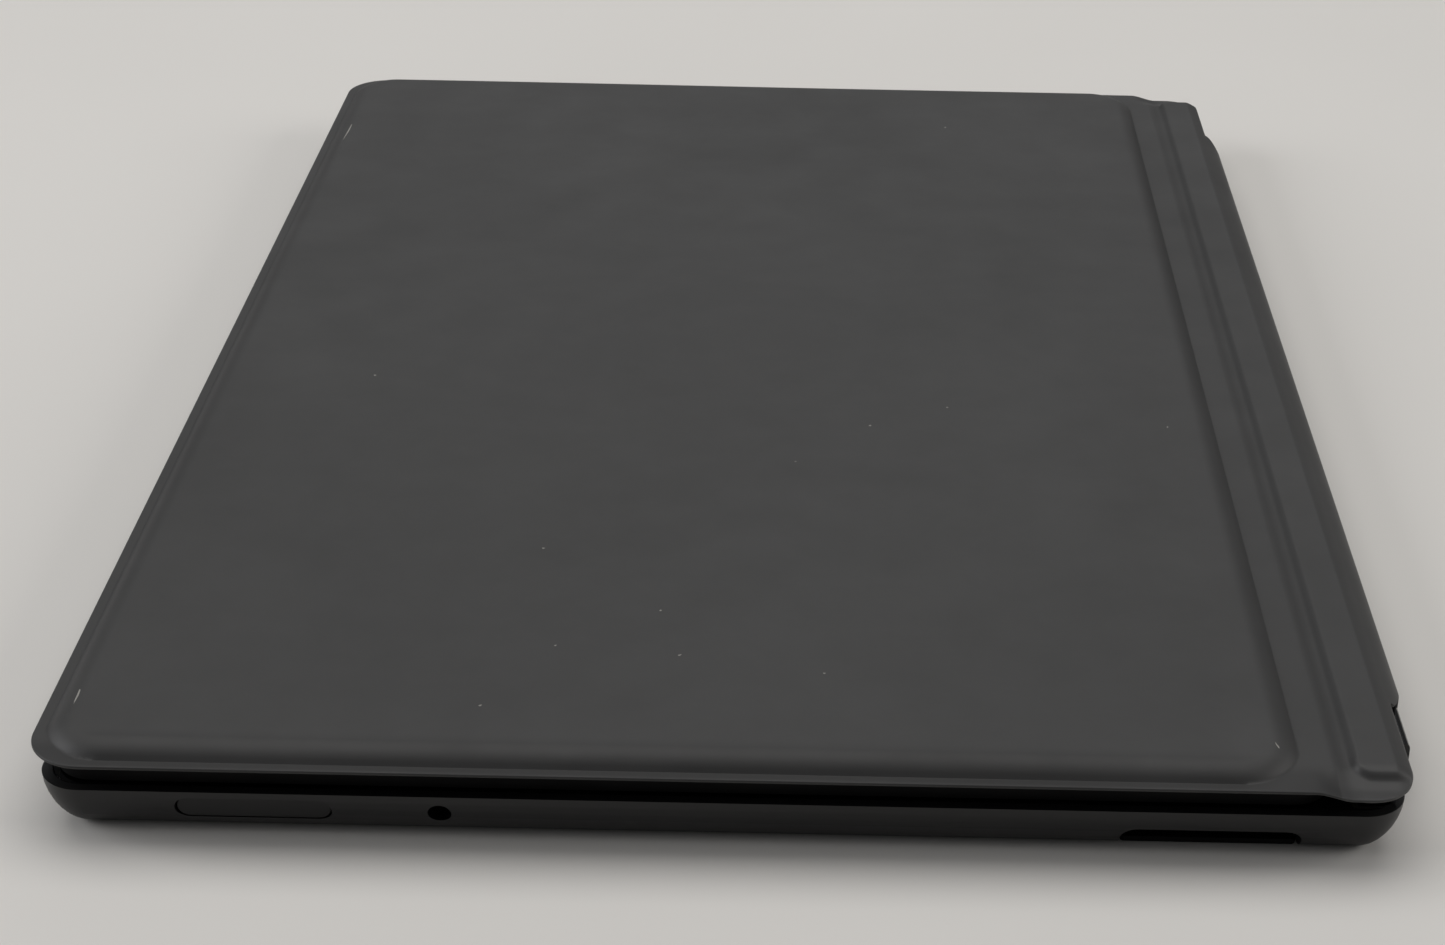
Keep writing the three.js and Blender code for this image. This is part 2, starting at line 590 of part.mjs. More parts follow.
function buildKickstand() {
  const half = KICK_BRACKET_W / 2;
  const pocket = half + STEP;
  const reach = half + PIN_REACH;
  const pinRod = (radius, y, length) =>
    rodY(radius, KICK_HINGE_X, KICK_AXIS_Z, y - length, y + length, 10);
  const plate = prismY(plateShape(), -KICK_HALF_Y, KICK_HALF_Y);
  const tools = [];
  for (const [side, label] of [[-1, 'left'], [1, 'right']]) {
    const y = side * (KICK_HALF_Y - KICK_BRACKET_INSET);
    tools.push(slab(KICK_HINGE_X - 2, KICK_HINGE_X + 1.6, y - pocket, y + pocket, -1, KICK_T + 1));
    tools.push(pinRod(PIN_BORE_R, y, reach));
    const bracket = prismY(bracketShape(), y - half, y + half);
    add(`hinge_bracket_${label}`, cut(bracket, pinRod(PIN_BORE_R, y, half + 1)), STEEL);
    add(`hinge_pin_${label}`, pinRod(PIN_R, y, reach - STEP), STEEL);
  }
  const tabHalf = NOTCH_L / 2 - 0.4;
  const tab = slab(
    NOTCH_X - tabHalf,
    NOTCH_X + tabHalf,
    -KICK_HALF_Y - TAB_REACH,
    -KICK_HALF_Y + 1,
    KICK_AXIS_Z - HINGE_EYE_R,
    KICK_AXIS_Z + HINGE_EYE_R,
    [2, 2, 0, 0],
  );
  add('kickstand_plate', join(cut(plate, ...tools), tab), SATIN_ALLOY);
}

// ---------------------------------------------------------------- cover spine

const FOLD_HALF_Y = HALF_Y - FOLD_END;
const SPINE_HALF_Y = HALF_Y - SPINE_END;

const spineInner = (z) => HALF_X - sideInset(z) + STEP; // spine's face against the curved side

function spineShape(faceX) {
  const shape = new THREE.Shape();
  shape.moveTo(spineInner(SPINE_LOW_Z), SPINE_LOW_Z);
  shape.lineTo(faceX - 1.8, SPINE_LOW_Z);
  shape.quadraticCurveTo(faceX, SPINE_LOW_Z, faceX, SPINE_LOW_Z + 2);
  shape.lineTo(faceX, SPINE_HIGH_Z - 1);
  shape.quadraticCurveTo(faceX, SPINE_HIGH_Z, faceX - 1, SPINE_HIGH_Z);
  for (const share of [1, 0.75, 0.5, 0.25]) {
    const z = SPINE_LOW_Z + share * (SPINE_HIGH_Z - SPINE_LOW_Z);
    shape.lineTo(spineInner(z), z);
  }
  return shape;
}

// Section of the skin that folds from the strip's flange over and round the spine.
function foldShape() {
  const [bigR, smallR, t] = [4, 2, SKIN_T];
  const topX = FOLD_X - bigR;
  const topZ = FLANGE_Z - bigR;
  const lowX = FOLD_X - smallR;
  const lowZ = SPINE_LOW_Z - t - 0.1 + smallR;
  const tailX = HALF_X - sideInset(SPINE_LOW_Z) + 1.6;
  const startX = STRIP_END_X + SEAM;
  const shape = new THREE.Shape();
  shape.moveTo(tailX, lowZ - smallR);
  shape.lineTo(lowX, lowZ - smallR);
  shape.absarc(lowX, lowZ, smallR, -Math.PI / 2, 0, false);
  shape.lineTo(FOLD_X, topZ);
  shape.absarc(topX, topZ, bigR, 0, Math.PI / 2, false);
  shape.lineTo(startX, FLANGE_Z);
  shape.lineTo(startX, FLANGE_Z - t);
  shape.lineTo(topX, FLANGE_Z - t);
  shape.absarc(topX, topZ, bigR - t, Math.PI / 2, 0, true);
  shape.lineTo(FOLD_X - t, lowZ);
  shape.absarc(lowX, lowZ, smallR - t, 0, -Math.PI / 2, true);
  shape.lineTo(tailX, lowZ - smallR + t);
  return shape;
}

// Span of the cover's flange between two places along X, with the whole flange's rounded corners.
function flangeSpan(x0, x1, thickness) {
  const [a, b] = [LIP_CORNER_R, HINGE_CORNER_R];
  const low = FLANGE_Z - thickness;
  const whole = slab(LIP_X, HINGE_LIP_X, -LIP_Y, LIP_Y, low, FLANGE_Z, [a, b, b, a], 6);
  return common(whole, slab(x0, x1, -LIP_Y - 1, LIP_Y + 1, low - 1, FLANGE_Z + 1));
}

function buildSpine() {
  const inner = spineInner(PORT_Z);
  const coveredX = FOLD_X - SKIN_T - 0.25;
  const endBar = (y0, y1) => prismY(spineShape(FOLD_X), y0, y1, 4);
  const bar = join(
    prismY(spineShape(coveredX), -SPINE_HALF_Y, SPINE_HALF_Y, 4),
    endBar(-SPINE_HALF_Y, -FOLD_HALF_Y - STEP),
    endBar(FOLD_HALF_Y + STEP, SPINE_HALF_Y),
  );
  const blockY = CONTACT_HALF_Y - 1.3;
  const seatY = blockY + STEP;
  const [blockLow, blockHigh] = [PORT_Z - 0.8, PORT_Z + 1.0];
  const contactSeat = slab(inner - 4, inner + 2.2, -seatY, seatY, blockLow - STEP, blockHigh + STEP);
  const pinBores = [-1, 1].map((side) =>
    rodX(GUIDE_R + 0.1, side * GUIDE_Y, PORT_Z, inner - 4, inner + 2.2));
  const [magnetLow, magnetHigh] = [PORT_Z - 1.3, PORT_Z + 1.1];
  const magnetX = spineInner(magnetHigh);
  const [nearY, farY] = EDGE_MAGNET_Y;
  const magnetSeat = (y0, y1) =>
    slab(inner - 4, magnetX + 1.6, y0 - STEP, y1 + STEP, magnetLow - STEP, magnetHigh + STEP);
  const magnetSeats = [magnetSeat(nearY, farY), magnetSeat(-farY, -nearY)];
  add('spine_bar', cut(bar, contactSeat, ...pinBores, ...magnetSeats), GLOSS_PLASTIC);
  const block = slab(inner - 0.1, inner + 1.9, -blockY, blockY, blockLow, blockHigh);
  const contacts = [-10, -6, -2, 2, 6, 10].map((y) => rodX(0.6, y, PORT_Z + 0.1, inner - 0.6, inner, 10));
  add('contact_block', join(block, ...contacts), CONTACT_GOLD);
  add('guide_pin_left', rodX(GUIDE_R, -GUIDE_Y, PORT_Z, inner - 2.6, inner + 2.0), STEEL);
  add('guide_pin_right', rodX(GUIDE_R, GUIDE_Y, PORT_Z, inner - 2.6, inner + 2.0), STEEL);
  const magnet = (y0, y1) => slab(magnetX, magnetX + 1.3, y0, y1, magnetLow, magnetHigh);
  addPair('spine_magnet', nearY, farY, magnet, STEEL);
  const wing = flangeSpan(STRIP_END_X + SEAM, HINGE_LIP_X, SKIN_T);
  const middle = slab(0, FOLD_X, 0.5 - FOLD_HALF_Y, FOLD_HALF_Y - 0.5, 0, FLANGE_Z + 1);
  const fold = prismY(foldShape(), -FOLD_HALF_Y, FOLD_HALF_Y);
  add('fold_skin', join(fold, cut(wing, middle)), SOFT_SKIN);
}

// ---------------------------------------------------------------- cover strip

function buildStrip() {
  const [x0, x1] = [STRIP_START_X + SEAM, STRIP_END_X];
  const barHalf = LIP_Y - STRIP_END;
  const corners = [STRIP_CORNER_R, 0.4, 0.4, STRIP_CORNER_R];
  const top = FLANGE_Z + STRIP_RISE;
  const raised = slab(x0 + 0.3, x1 - 0.2, -barHalf, barHalf, FLANGE_Z - 0.2, top, corners);
  add('strip_skin', join(flangeSpan(x0, x1, FLANGE_T), raised), SOFT_SKIN);
  const under = FLANGE_LOW_Z - 0.2;
  const stiffenerLow = under - STIFFENER_T - 0.2;
  const [stiffenerY, liningY] = [HALF_Y - 8, HALF_Y - 3.5];
  const stiffener = slab(x0 + 0.2, x1 - 0.2, -stiffenerY, stiffenerY, stiffenerLow, under, 1, 3);
  add('strip_stiffener', stiffener, LAMINATE);
  const magnetTop = stiffenerLow - 0.2;
  const magnet = (y0, y1) => slab(x0 + 0.4, x1 - 0.4, y0, y1, magnetTop - STRIP_MAGNET_T, magnetTop);
  addPair('strip_magnet', STRIP_MAGNET_START_Y, HALF_Y - STRIP_MAGNET_END, magnet, STEEL);
  const liningLow = COVER_LOW_Z + 0.1;
  const lining = slab(x0, x1, -liningY, liningY, liningLow, liningLow + LINING_T);
  add('strip_lining', lining, LINING);
  const grooveTop = FLANGE_Z - GROOVE_DEPTH;
  const grooveY = LIP_Y - 0.4;
  const groove = slab(
    DECK_END_X + 0.1,
    STRIP_START_X,
    -grooveY,
    grooveY,
    grooveTop - SKIN_T - 0.1,
    grooveTop,
  );
  add('groove_skin', groove, SOFT_SKIN);
}

// ---------------------------------------------------------------- cover deck

const PAD_X0 = LIP_X + FLANGE_W;
const PAD_Y = LIP_Y - FLANGE_W;
const FRAME_X0 = -HALF_X + DECK_SETBACK;
const FRAME_X1 = DECK_END_X - 0.2;
const FRAME_Y = HALF_Y - DECK_SETBACK;

function padLevel(z, inset) {
  const radius = Math.max(LIP_CORNER_R + 1 - inset, 1);
  return {
    z,
    x0: PAD_X0 + inset,
    x1: PAD_END_X - inset,
    y0: -PAD_Y + inset,
    y1: PAD_Y - inset,
    radii: [radius, radius, radius, radius],
  };
}

function buildDeckSkin() {
  const flange = flangeSpan(LIP_X, DECK_END_X - 0.1, FLANGE_T);
  const levels = [padLevel(FLANGE_Z - 0.3, 0)];
  for (let degrees = 0; degrees <= 90; degrees += 15) {
    const angle = THREE.MathUtils.degToRad(degrees);
    levels.push(padLevel(FLANGE_Z + PAD_H * Math.sin(angle), SHOULDER_W * (1 - Math.cos(angle))));
  }
  const [x0, x1, y] = [PAD_X0 + PAD_WALL, PAD_END_X - PAD_WALL, PAD_Y - PAD_WALL];
  const hollow = slab(x0, x1, -y, y, FLANGE_LOW_Z - 1, FLANGE_Z + PAD_H - PAD_ROOF, 6);
  add('deck_skin', cut(join(flange, loft(levels)), hollow), SOFT_SKIN);
  const fit = 0.4;
  const sheet = (low, thickness) => slab(x0 + fit, x1 - fit, fit - y, y - fit, low, low + thickness, 6);
  const boardLow = FLANGE_LOW_Z + SEAM;
  add('stiffener_board', sheet(boardLow, STIFFENER_T), LAMINATE);
  add('foam_sheet', sheet(boardLow + STIFFENER_T + SEAM, FOAM_T), FOAM);
}

// Key rows from the strip side towards the free edge. Widths are in keys.
const ROWS = [
  { name: 'key_row_function', depth: FUNCTION_DEPTH, keys: Array(14).fill(KEY_UNITS / 14) },
  { name: 'key_row_number', depth: KEY_DEPTH, keys: [...Array(13).fill(1), 1.5] },
  { name: 'key_row_upper', depth: KEY_DEPTH, keys: [1.5, ...Array(13).fill(1)] },
  { name: 'key_row_home', depth: KEY_DEPTH, keys: [1.75, ...Array(11).fill(1), 1.75] },
  { name: 'key_row_lower', depth: KEY_DEPTH, keys: [2.25, ...Array(10).fill(1), 2.25] },
];
const BOTTOM_GROUPS = [
  { name: 'key_row_bottom_left', start: 0, keys: [1.25, 1, 1, 1.25] },
  { name: 'space_bar', start: 4.5, keys: [5] },
  { name: 'key_row_bottom_right', start: 9.5, keys: [1, 1, 1, 1, 1] },
];

// One row of caps on the thin web that links them, and the opening it drops through.
function buildRow(name, x1, depth, start, keys) {
  const [low, high] = [x1 - depth + KEY_GAP / 2, x1 - KEY_GAP / 2];
  const capTop = KEY_TOP_Z + KEY_T;
  let y = -KEYS_HALF_Y + start * KEY_WIDTH;
  const rowStart = y + KEY_GAP / 2;
  const caps = keys.map((width) => {
    const y0 = y + KEY_GAP / 2;
    y += width * KEY_WIDTH;
    return slab(low, high, y0, y - KEY_GAP / 2, KEY_TOP_Z, capTop);
  });
  const rowEnd = y - KEY_GAP / 2;
  add(name, join(slab(low, high, rowStart, rowEnd, capTop - WEB_T, capTop), ...caps), DARK_PLASTIC);
  const c = KEY_CLEAR;
  return slab(low - c, high + c, rowStart - c, rowEnd + c, COVER_LOW_Z - 1, FRAME_TOP_Z + 1);
}

function buildDeck() {
  const openings = [];
  let x = KEYS_START_X;
  for (const row of ROWS) {
    openings.push(buildRow(row.name, x, row.depth, 0, row.keys));
    x -= row.depth;
  }
  for (const group of BOTTOM_GROUPS) {
    openings.push(buildRow(group.name, x, KEY_DEPTH, group.start, group.keys));
  }
  const keysEnd = x - KEY_DEPTH;
  const wellEnd = keysEnd - 1.5;
  const [padX0, padX1] = [-HALF_X + TOUCHPAD_END, keysEnd - TOUCHPAD_GAP];
  const padY = TOUCHPAD_Y / 2;
  const [rim, hollowRim, corner] = [2, 3, 6];
  const body = slab(FRAME_X0, FRAME_X1, -FRAME_Y, FRAME_Y, COVER_LOW_Z, FRAME_TOP_Z, corner);
  const palmZ = COVER_LOW_Z + LINING_T + 0.4;
  const wellY = KEYS_HALF_Y + 2;
  const well = slab(wellEnd, KEYS_START_X + 2, -wellY, wellY, 0, WELL_Z, 2, 3);
  const inner = (edge, z0, z1, radius) =>
    slab(FRAME_X0 + edge, FRAME_X1 - edge, edge - FRAME_Y, FRAME_Y - edge, z0, z1, radius, 3);
  const palm = inner(rim, 0, palmZ, corner - rim);
  const upper = inner(hollowRim, FACE_TOP_Z, FRAME_TOP_Z + 1, corner - hollowRim);
  const c = KEY_CLEAR;
  const padHole = slab(padX0 - c, padX1 + c, -padY - c, padY + c, 0, FRAME_TOP_Z + 1);
  add('key_frame', cut(body, well, palm, upper, padHole, ...openings), DARK_PLASTIC);
  const plateLow = KEY_TOP_Z + 0.1;
  const step = 3;
  const plate = slab(padX0, padX1, -padY, padY, plateLow, plateLow + 0.7, 2, 3);
  const backing = slab(padX0 + step, padX1 - step, step - padY, padY - step, plateLow + 0.6, plateLow + 1.2);
  add('touchpad', join(plate, backing), GLOSS_PLASTIC);
  const edge = rim + STEP;
  const lining = slab(
    FRAME_X0 + edge,
    wellEnd - 0.5,
    edge - FRAME_Y,
    FRAME_Y - edge,
    palmZ - LINING_T - 0.1,
    palmZ - 0.1 - 0.05,
    corner - edge,
    3,
  );
  add('palm_lining', cut(lining, padHole), LINING);
  const sheetY = FRAME_Y - hollowRim - 1;
  const [sheetX0, sheetX1] = [padX1 + 2, FRAME_X1 - hollowRim - 1];
  const circuitZ = KEY_TOP_Z + KEY_T + KEY_TRAVEL + 0.1;
  const sheet = (low) => slab(sheetX0, sheetX1, -sheetY, sheetY, low, low + 0.2);
  add('key_circuit_sheet', sheet(circuitZ), LAMINATE);
  add('backlight_sheet', sheet(circuitZ + 0.3), LIGHT_SHEET);
  const boardX = FRAME_X0 + hollowRim + 2;
  const board = slab(boardX, boardX + 7, -60, 60, FACE_TOP_Z + 0.1, FACE_TOP_Z + 0.9);
  add('controller_board', board, BOARD);
}

// ---------------------------------------------------------------- the whole object

buildHousing();
buildControls();
buildScreen();
buildPower();
buildPorts();
buildSpeakersAndCameras();
buildKickstand();
buildSpine();
buildStrip();
buildDeckSkin();
buildDeck();

export default assembly;
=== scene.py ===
"""Looks of a slab tablet lying under its folding keyboard cover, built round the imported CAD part.

Sizes are in millimetres and X is measured from the tablet's middle, as on the drawing. put() turns
them into metres in the shared frame.
"""

import json
import math

import bmesh
import bpy
import numpy as np
from mathutils import Matrix


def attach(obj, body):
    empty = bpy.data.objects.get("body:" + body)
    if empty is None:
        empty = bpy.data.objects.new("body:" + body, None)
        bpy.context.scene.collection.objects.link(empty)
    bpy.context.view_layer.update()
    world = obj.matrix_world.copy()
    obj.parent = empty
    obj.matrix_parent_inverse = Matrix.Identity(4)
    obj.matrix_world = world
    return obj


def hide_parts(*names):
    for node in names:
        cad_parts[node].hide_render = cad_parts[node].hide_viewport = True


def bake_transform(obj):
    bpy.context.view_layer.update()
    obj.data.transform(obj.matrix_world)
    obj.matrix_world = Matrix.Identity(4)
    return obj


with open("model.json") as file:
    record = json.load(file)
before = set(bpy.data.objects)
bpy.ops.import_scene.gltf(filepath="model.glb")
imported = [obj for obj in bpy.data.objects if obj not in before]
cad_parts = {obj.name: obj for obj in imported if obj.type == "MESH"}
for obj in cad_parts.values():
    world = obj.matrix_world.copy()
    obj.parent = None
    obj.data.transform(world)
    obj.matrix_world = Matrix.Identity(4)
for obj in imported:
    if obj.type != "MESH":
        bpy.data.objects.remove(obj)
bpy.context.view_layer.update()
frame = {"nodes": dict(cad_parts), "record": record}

# ------------------------------------------------------------------ sizes

MM = 0.001
SHARP_ANGLE = 32  # degrees past which an edge is drawn crisp
MIDDLE_X = -1.15  # the tablet's middle in the shared frame

FLANGE_TOP = 13.5
FLANGE_T = 0.55
LIP_X = -101.95  # flange's free edge
LIP_Y = 147.2
LIP_CORNER = 9.0
WING_X = 101.35  # flange's edge past the spine's ends
WING_CORNER = 7.0
PAD_X = (-100.25, 85.05)
PAD_Y = 145.5
PAD_CORNER = 10.0
PAD_H = 2.0
SHOULDER_W = 4.2
HOLLOW_TOP = 14.78  # underside of the skin over the foam
GROOVE_DEPTH = 0.34
SEAM_X = 93.25  # where the two skins meet, on the side of the bar
BAR_X = 91.9  # foot of the raised bar
BAR_Y = 143.0
BAR_CORNER = 3.6
BAR_RISE = 0.7
RIDGE_X = 98.7
FOLD_X = 104.25
FOLD_Y = 115.0
FOLD_TOP_Y = 122.0  # the wrap reaches further at its top than on the fold's face
FOLD_T = 0.5

KEY_FACE = 9.5  # faces of the keys, which look down when the cover is shut
KEY_BACK = 10.6
WELL = 10.2
KEYS_START = 83.0
KEYS_HALF_Y = 134.85
KEY_W = 18.6
KEY_DEPTH = 18.6
FUNCTION_DEPTH = 11.5
KEY_GAP = 2.0


# ------------------------------------------------------------------ small helpers


def smooth(t):
    """Eases from 0 to 1: three t squared less two t cubed."""
    t = np.clip(t, 0.0, 1.0)
    return t * t * (3 - 2 * t)


def inside(x, y, x0, x1, half_y, corner):
    """Distance in from the edge of a rectangle with rounded corners, negative outside it."""
    over_x = np.abs(x - (x0 + x1) / 2) - ((x1 - x0) / 2 - corner)
    over_y = np.abs(y) - (half_y - corner)
    past = np.hypot(np.maximum(over_x, 0), np.maximum(over_y, 0))
    return corner - past - np.minimum(np.maximum(over_x, over_y), 0)


def spread(*spans):
    """Places along an axis: each span is (start, end, step), and the last end is kept."""
    runs = [np.linspace(a, b, max(2, round(abs(b - a) / step) + 1))[:-1] for a, b, step in spans]
    return np.concatenate(runs + [[spans[-1][1]]])


def put(name, points, faces, finish):
    """A smooth mesh from points in drawing millimetres, its normals turned outwards."""
    points = np.array(points, dtype=float).reshape(-1, 3)
    points[:, 0] += MIDDLE_X
    mesh = bpy.data.meshes.new(name)
    mesh.from_pydata((points * MM).tolist(), [], faces)
    tidy_mesh(mesh)
    obj = bpy.data.objects.new(name, mesh)
    bpy.context.scene.collection.objects.link(obj)
    mesh.materials.append(finish)
    return obj


def tidy_mesh(mesh, flat_angle=0.0):
    """Merges doubled points, joins flat faces if asked, and shades smooth but for sharp edges."""
    work = bmesh.new()
    work.from_mesh(mesh)
    bmesh.ops.remove_doubles(work, verts=work.verts, dist=2e-6)
    if flat_angle:
        bmesh.ops.dissolve_limit(
            work, angle_limit=math.radians(flat_angle), verts=work.verts, edges=work.edges
        )
    bmesh.ops.recalc_face_normals(work, faces=work.faces)
    work.to_mesh(mesh)
    work.free()
    mesh.shade_smooth()
    mesh.set_sharp_from_angle(angle=math.radians(SHARP_ANGLE))


def edge_walls(mask, index):
    """Quads that join an outer and an inner grid wherever a cell of mask has no neighbour."""
    count = index.size
    around = np.pad(mask, 1)
    corners = [index[:-1, :-1], index[1:, :-1], index[1:, 1:], index[:-1, 1:]]
    beside = [around[1:-1, :-2], around[2:, 1:-1], around[1:-1, 2:], around[:-2, 1:-1]]
    walls = []
    for k, there in enumerate(beside):
        bare = mask & ~there
        a, b = corners[k][bare], corners[(k + 1) % 4][bare]
        walls.append(np.stack([a, a + count, b + count, b], axis=1))
    return np.concatenate(walls).tolist()


def closed_sheet(name, outer, inner, mask, finish):
    """A sheet with thickness from two grids of points. mask says which cells are there."""
    rows, cols = outer.shape[:2]
    index = np.arange(rows * cols).reshape(rows, cols)
    a, b = index[:-1, :-1][mask], index[1:, :-1][mask]
    c, d = index[1:, 1:][mask], index[:-1, 1:][mask]
    count = rows * cols
    top = np.stack([a, b, c, d], axis=1)
    low = np.stack([d, c, b, a], axis=1) + count
    faces = top.tolist() + low.tolist() + edge_walls(mask, index)
    points = np.concatenate([outer.reshape(-1, 3), inner.reshape(-1, 3)])
    return put(name, points, faces, finish)


def give_values(obj, name, rule):
    """Stores one number per point for the material: rule(x, y, z) in drawing millimetres."""
    points = np.empty(len(obj.data.vertices) * 3)
    obj.data.vertices.foreach_get("co", points)
    x, y, z = (points.reshape(-1, 3) / MM).T
    values = np.asarray(rule(x - MIDDLE_X, y, z), dtype=np.float32)
    obj.data.attributes.new(name, "FLOAT", "POINT").data.foreach_set("value", values)


# ------------------------------------------------------------------ finishes


def linear(code):
    """A web colour code as the linear colour that the shader wants."""
    parts = [int(code[i : i + 2], 16) / 255 for i in (1, 3, 5)]
    return [p / 12.92 if p <= 0.04045 else ((p + 0.055) / 1.055) ** 2.4 for p in parts] + [1.0]


def add(tree, kind, inputs=None, **settings):
    """Adds a shader node. Each input is a value, or the output socket that feeds it."""
    node = tree.nodes.new(kind)
    for key, value in settings.items():
        setattr(node, key, value)
    for key, value in (inputs or {}).items():
        if isinstance(value, bpy.types.NodeSocket):
            tree.links.new(value, node.inputs[key])
        else:
            node.inputs[key].default_value = value
    return node


def start(name):
    """An empty material and its surface coordinates, in metres."""
    made = bpy.data.materials.new(name)
    made.use_nodes = True
    tree = made.node_tree
    tree.nodes.clear()
    return made, tree, add(tree, "ShaderNodeTexCoord").outputs["Object"]


def noise(tree, place, size, detail=2.0, rough=0.5):
    """Noise whose patches are about size mm across."""
    inputs = {"Vector": place, "Scale": 1 / (size * MM), "Detail": detail, "Roughness": rough}
    return add(tree, "ShaderNodeTexNoise", inputs).outputs["Fac"]


def ranged(tree, value, low, high, start_at=0.3, end_at=0.7):
    """Maps value from start_at..end_at to low..high."""
    inputs = {"Value": value, "From Min": start_at, "From Max": end_at, "To Min": low, "To Max": high}
    return add(tree, "ShaderNodeMapRange", inputs).outputs["Result"]


def close(made, tree, colour, roughness, bump=None, **more):
    """Ends a material: one surface shader, with a bump of (height, depth in mm) if given."""
    inputs = {"Base Color": colour, "Roughness": roughness}
    inputs.update({key.replace("_", " "): value for key, value in more.items()})
    if bump:
        height, depth = bump
        values = {"Height": height, "Distance": depth * MM, "Strength": 1.0}
        inputs["Normal"] = add(tree, "ShaderNodeBump", values).outputs["Normal"]
    surface = add(tree, "ShaderNodeBsdfPrincipled", inputs)
    add(tree, "ShaderNodeOutputMaterial", {"Surface": surface.outputs["BSDF"]})
    return made


def shaded(tree, dark, light, share):
    """A colour between two codes, by share."""
    inputs = {"Factor": share}
    node = add(tree, "ShaderNodeMix", inputs, data_type="RGBA")
    node.inputs[6].default_value = linear(dark)
    node.inputs[7].default_value = linear(light)
    return node.outputs[2]


def plain(name, dark, light, roughness, patch=6.0, grain=0.3, depth=0.01, **more):
    """A finish with patches of two close colours, an uneven sheen and a fine grain."""
    made, tree, place = start(name)
    patches = noise(tree, place, patch, 3)
    colour = shaded(tree, dark, light, ranged(tree, patches, 0, 1))
    sheen = ranged(tree, noise(tree, place, patch * 2.3), roughness * 0.88, roughness * 1.1)
    return close(made, tree, colour, sheen, (noise(tree, place, grain, 2), depth), **more)


def soft_touch():
    """Soft-touch coated skin: cloudy handling marks with painted shade in the groove and on the near
    shoulder, paler where it is rubbed, finest pebbling.
    """
    made, tree, place = start("soft_touch_skin")
    cloud = ranged(tree, noise(tree, place, 34, 5, 0.6), 0.54, 0.84)
    fine = ranged(tree, noise(tree, place, 3.5, 4, 0.7), -0.04, 0.04)
    # This attribute carries handling marks and painted shade in the groove and on the near shoulder.
    smudge_and_shade = add(tree, "ShaderNodeAttribute", attribute_name="smudge_and_shade").outputs["Fac"]
    worn = add(tree, "ShaderNodeAttribute", attribute_name="worn").outputs["Fac"]
    share = add(tree, "ShaderNodeMath", {0: cloud, 1: fine}, operation="ADD").outputs[0]
    share = add(tree, "ShaderNodeMath", {0: smudge_and_shade, 1: 0.5, 2: share}, operation="MULTIPLY_ADD").outputs[0]
    share = add(
        tree, "ShaderNodeMath", {0: worn, 1: 0.1, 2: share}, operation="MULTIPLY_ADD", use_clamp=True
    ).outputs[0]
    colour = shaded(tree, "#1d1d1d", "#363636", share)
    sheen = ranged(tree, noise(tree, place, 15, 4), 0.5, 0.58)
    pebble = noise(tree, place, 0.22, 2, 0.6)
    return close(made, tree, colour, sheen, (pebble, 0.012), Specular_IOR_Level=0.6)


def pale_floor():
    """Pale matt table top, all but even."""
    made, tree, place = start("pale_table_top")
    colour = shaded(tree, "#e6e4e0", "#e9e7e3", ranged(tree, noise(tree, place, 180, 3), 0, 1))
    return close(made, tree, colour, 0.75, (noise(tree, place, 0.8, 2), 0.01), Specular_IOR_Level=0.2)


SKIN = soft_touch()
# Microfibre lining, a short brushed nap.
LINING = plain("microfibre_lining", "#2a2a2d", "#323236", 0.95, 8, 0.12, 0.05, Sheen_Weight=0.3)
# Magnesium alloy under a dark satin coating.
ALLOY = plain("satin_coated_alloy", "#111112", "#151516", 0.42, 30, 0.12, 0.004, Specular_IOR_Level=0.42)
# Black-bordered cover glass, hardly smeared.
GLASS = plain("black_cover_glass", "#050607", "#070809", 0.07, 40, 5.0, 0.0005, Coat_Weight=0.3)
# Moulded dark plastic with a fine spark-eroded texture.
PLASTIC = plain("moulded_dark_plastic", "#080809", "#0c0c0d", 0.7, 9, 0.15, 0.01, Specular_IOR_Level=0.14)
# Key plastic, matt and slightly silky.
KEY = plain("matt_key_plastic", "#19191b", "#1f1f21", 0.48, 12, 0.12, 0.006)
# Glossy black plastic of the spine and the touchpad's face.
GLOSS = plain("glossy_black_plastic", "#0b0b0c", "#0f0f10", 0.16, 20, 2.5, 0.001)
# Plated steel.
STEEL = plain("plated_steel", "#9a9da2", "#b0b3b8", 0.3, 5, 0.2, 0.003, Metallic=1.0)
# Circuit board under green solder mask.
BOARD = plain("green_solder_mask", "#12351f", "#1a452a", 0.5, 3, 0.5, 0.02)
# Foil wrap of the battery cells.
FOIL = plain("battery_foil", "#1b1c20", "#24252a", 0.4, 14, 3.0, 0.05, Metallic=0.5)
# Bare copper sheet.
COPPER = plain("bare_copper", "#a55f33", "#bd7748", 0.35, 7, 0.3, 0.003, Metallic=1.0)
# Gold-plated contacts.
GOLD = plain("gold_plated_contact", "#bd9440", "#d1ab5a", 0.28, 2, 0.1, 0.002, Metallic=1.0)
# Open-cell foam.
FOAM = plain("grey_foam", "#303133", "#3e3f42", 0.98, 2, 0.3, 0.12)
# Glass-fibre laminate.
LAMINATE = plain("glass_fibre_laminate", "#625f4c", "#757260", 0.7, 2, 0.4, 0.02)
# White light-guide film.
FILM = plain("white_light_film", "#d6d8d4", "#e6e8e4", 0.5, 25, 1.0, 0.003)
# Lint and chalky scuffs on the skin.
LINT = plain("pale_lint", "#8d8b86", "#a09e99", 0.9, 0.5, 0.1, 0.02)

# ------------------------------------------------------------------ cover skin


def corner_dip(x, y):
    """How far the flange sags near the hinge corners: full at the edge, gone 7 mm in and at the pad."""
    return 1.2 * smooth((x - 86) / 6) * (1 - smooth((LIP_Y - np.abs(y) - 2) / 5))


def pad_share(x, y):
    """Rise of the pad over its shoulder, 0 to 1: (1 - (1 - s)^2)^0.75 with a small fillet, s across it."""
    s = np.clip(inside(x, y, *PAD_X, PAD_Y, PAD_CORNER) / SHOULDER_W, 0, 1)
    s = np.minimum(1.1 * s * s / (s + 0.1), 1)
    return (1 - (1 - s) ** 2) ** 0.75


